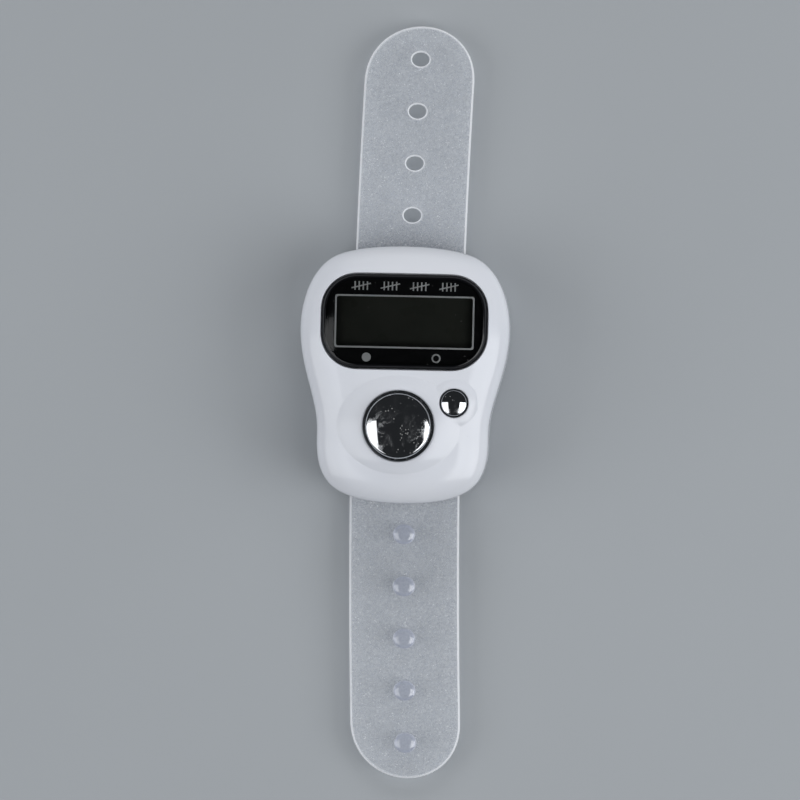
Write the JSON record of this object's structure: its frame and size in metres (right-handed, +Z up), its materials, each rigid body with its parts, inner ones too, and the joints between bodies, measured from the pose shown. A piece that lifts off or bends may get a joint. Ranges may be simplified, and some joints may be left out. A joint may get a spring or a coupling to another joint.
{
  "type": "row counter",
  "caption": "Finger-worn electronic row counter: waisted glossy case, LCD under a black lens, round count and reset buttons, soft snap-stud band through loops in its back.",
  "frame": {"origin": "on the resting plane of the back cover, under the middle of the band", "axes": "+Z up through the display, +Y along the band from the count button towards the display"},
  "size_m": [0.032, 0.1156, 0.015],
  "materials": {
    "case_plastic": "glossy injection-moulded ABS, very slightly bluish white",
    "lens": "polished acrylic, black from the mask printed under it",
    "mask_ink": "black screen-printed film with a silver-grey window line",
    "tape": "foam tape, matt",
    "film": "polarising film, satin, dark greenish grey",
    "lcd_glass": "LCD glass, polished, switched off",
    "dark_plastic": "matt black plastic",
    "silicone": "matt grey silicone",
    "board": "green solder mask",
    "epoxy": "black potting epoxy",
    "smd_ceramic": "fired ceramic, satin",
    "carbon_rubber": "matt carbon-loaded silicone",
    "steel": "nickel-plated steel, satin",
    "seal_nylon": "nylon seal",
    "chrome": "bright chrome plating on plastic, fine handling scratches",
    "band_tpu": "frosted translucent TPU with a fine sparkle"
  },
  "bodies": {
    "case": {"front_case": "case_plastic", "back_cover": "case_plastic", "display_lens": "lens", "lens_mask": "mask_ink", "lens_tape": "tape", "lcd_polariser": "film", "lcd_front_glass": "lcd_glass", "lcd_rear_glass": "lcd_glass", "lcd_reflector": "film", "lcd_frame": "dark_plastic", "zebra_strip": "silicone", "circuit_board": "board", "chip_blob": "epoxy", "capacitor": "smd_ceramic", "resistor": "epoxy", "count_dome": "silicone", "reset_dome": "silicone", "cell_can": "steel", "cell_seal": "seal_nylon", "cell_cap": "steel", "positive_clip": "steel", "negative_leaf": "steel", "case_screw_1": "steel", "case_screw_2": "steel", "case_screw_3": "steel", "case_screw_4": "steel", "board_screw_1": "steel", "board_screw_2": "steel"},
    "count_button": {"count_button": "chrome", "count_pill": "carbon_rubber"},
    "reset_button": {"reset_button": "chrome", "reset_pill": "carbon_rubber"},
    "band_middle": {"strap_middle": "band_tpu"},
    "stud_link_1": {"strap_stud_1": "band_tpu"},
    "stud_link_2": {"strap_stud_2": "band_tpu"},
    "stud_link_3": {"strap_stud_3": "band_tpu"},
    "stud_link_4": {"strap_stud_4": "band_tpu"},
    "stud_link_5": {"strap_stud_5": "band_tpu"},
    "hole_link_1": {"strap_hole_1": "band_tpu"},
    "hole_link_2": {"strap_hole_2": "band_tpu"},
    "hole_link_3": {"strap_hole_3": "band_tpu"},
    "hole_link_4": {"strap_hole_4": "band_tpu"}
  },
  "joints": [
    {"name": "count_press", "type": "slide", "parent": "case", "child": "count_button", "axis": [0, 0, -1], "range_m": [0, 0.0008], "stiffness_N_per_m": 600, "springref_m": -0.0006, "deforming": ["count_dome"]},
    {"name": "reset_press", "type": "slide", "parent": "case", "child": "reset_button", "axis": [0, 0, -1], "range_m": [0, 0.0006], "stiffness_N_per_m": 600, "springref_m": -0.0006, "deforming": ["reset_dome"]},
    {"name": "band_slide", "type": "slide", "parent": "case", "child": "band_middle", "axis": [0, 1, 0], "range_m": [-0.0025, 0.0025]},
    {"name": "stud_curl_1", "type": "hinge", "parent": "band_middle", "child": "stud_link_1", "pos_m": [0, -0.0165, 0.00135], "axis": [1, 0, 0], "range_deg": [0, 88], "stiffness_Nm_per_rad": 0.02},
    {"name": "stud_curl_2", "type": "hinge", "parent": "stud_link_1", "child": "stud_link_2", "pos_m": [0, -0.0243, 0.00135], "axis": [1, 0, 0], "range_deg": [0, 27.1], "stiffness_Nm_per_rad": 0.004},
    {"name": "stud_curl_3", "type": "hinge", "parent": "stud_link_2", "child": "stud_link_3", "pos_m": [0, -0.0323, 0.00135], "axis": [1, 0, 0], "range_deg": [0, 27.1], "stiffness_Nm_per_rad": 0.004},
    {"name": "stud_curl_4", "type": "hinge", "parent": "stud_link_3", "child": "stud_link_4", "pos_m": [0, -0.0403, 0.00135], "axis": [1, 0, 0], "range_deg": [0, 27.1], "stiffness_Nm_per_rad": 0.004},
    {"name": "stud_curl_5", "type": "hinge", "parent": "stud_link_4", "child": "stud_link_5", "pos_m": [0, -0.0483, 0.00135], "axis": [1, 0, 0], "range_deg": [0, 27.1], "stiffness_Nm_per_rad": 0.004},
    {"name": "hole_curl_1", "type": "hinge", "parent": "band_middle", "child": "hole_link_1", "pos_m": [0, 0.02475, 0.00135], "axis": [-1, 0, 0], "range_deg": [0, 88], "stiffness_Nm_per_rad": 0.02},
    {"name": "hole_curl_2", "type": "hinge", "parent": "hole_link_1", "child": "hole_link_2", "pos_m": [0, 0.03275, 0.00135], "axis": [-1, 0, 0], "range_deg": [0, 24.1], "stiffness_Nm_per_rad": 0.004},
    {"name": "hole_curl_3", "type": "hinge", "parent": "hole_link_2", "child": "hole_link_3", "pos_m": [0, 0.04075, 0.00135], "axis": [-1, 0, 0], "range_deg": [0, 24.1], "stiffness_Nm_per_rad": 0.004},
    {"name": "hole_curl_4", "type": "hinge", "parent": "hole_link_3", "child": "hole_link_4", "pos_m": [0, 0.04875, 0.00135], "axis": [-1, 0, 0], "range_deg": [0, 24.1], "stiffness_Nm_per_rad": 0.004}
  ],
  "couplings": [
    {"joint": "stud_curl_2", "follows": "stud_curl_1", "ratio": 0.3068},
    {"joint": "stud_curl_3", "follows": "stud_curl_1", "ratio": 0.3068},
    {"joint": "stud_curl_4", "follows": "stud_curl_1", "ratio": 0.3068},
    {"joint": "stud_curl_5", "follows": "stud_curl_1", "ratio": 0.3068},
    {"joint": "hole_curl_2", "follows": "hole_curl_1", "ratio": 0.2727},
    {"joint": "hole_curl_3", "follows": "hole_curl_1", "ratio": 0.2727},
    {"joint": "hole_curl_4", "follows": "hole_curl_1", "ratio": 0.2727}
  ]
}
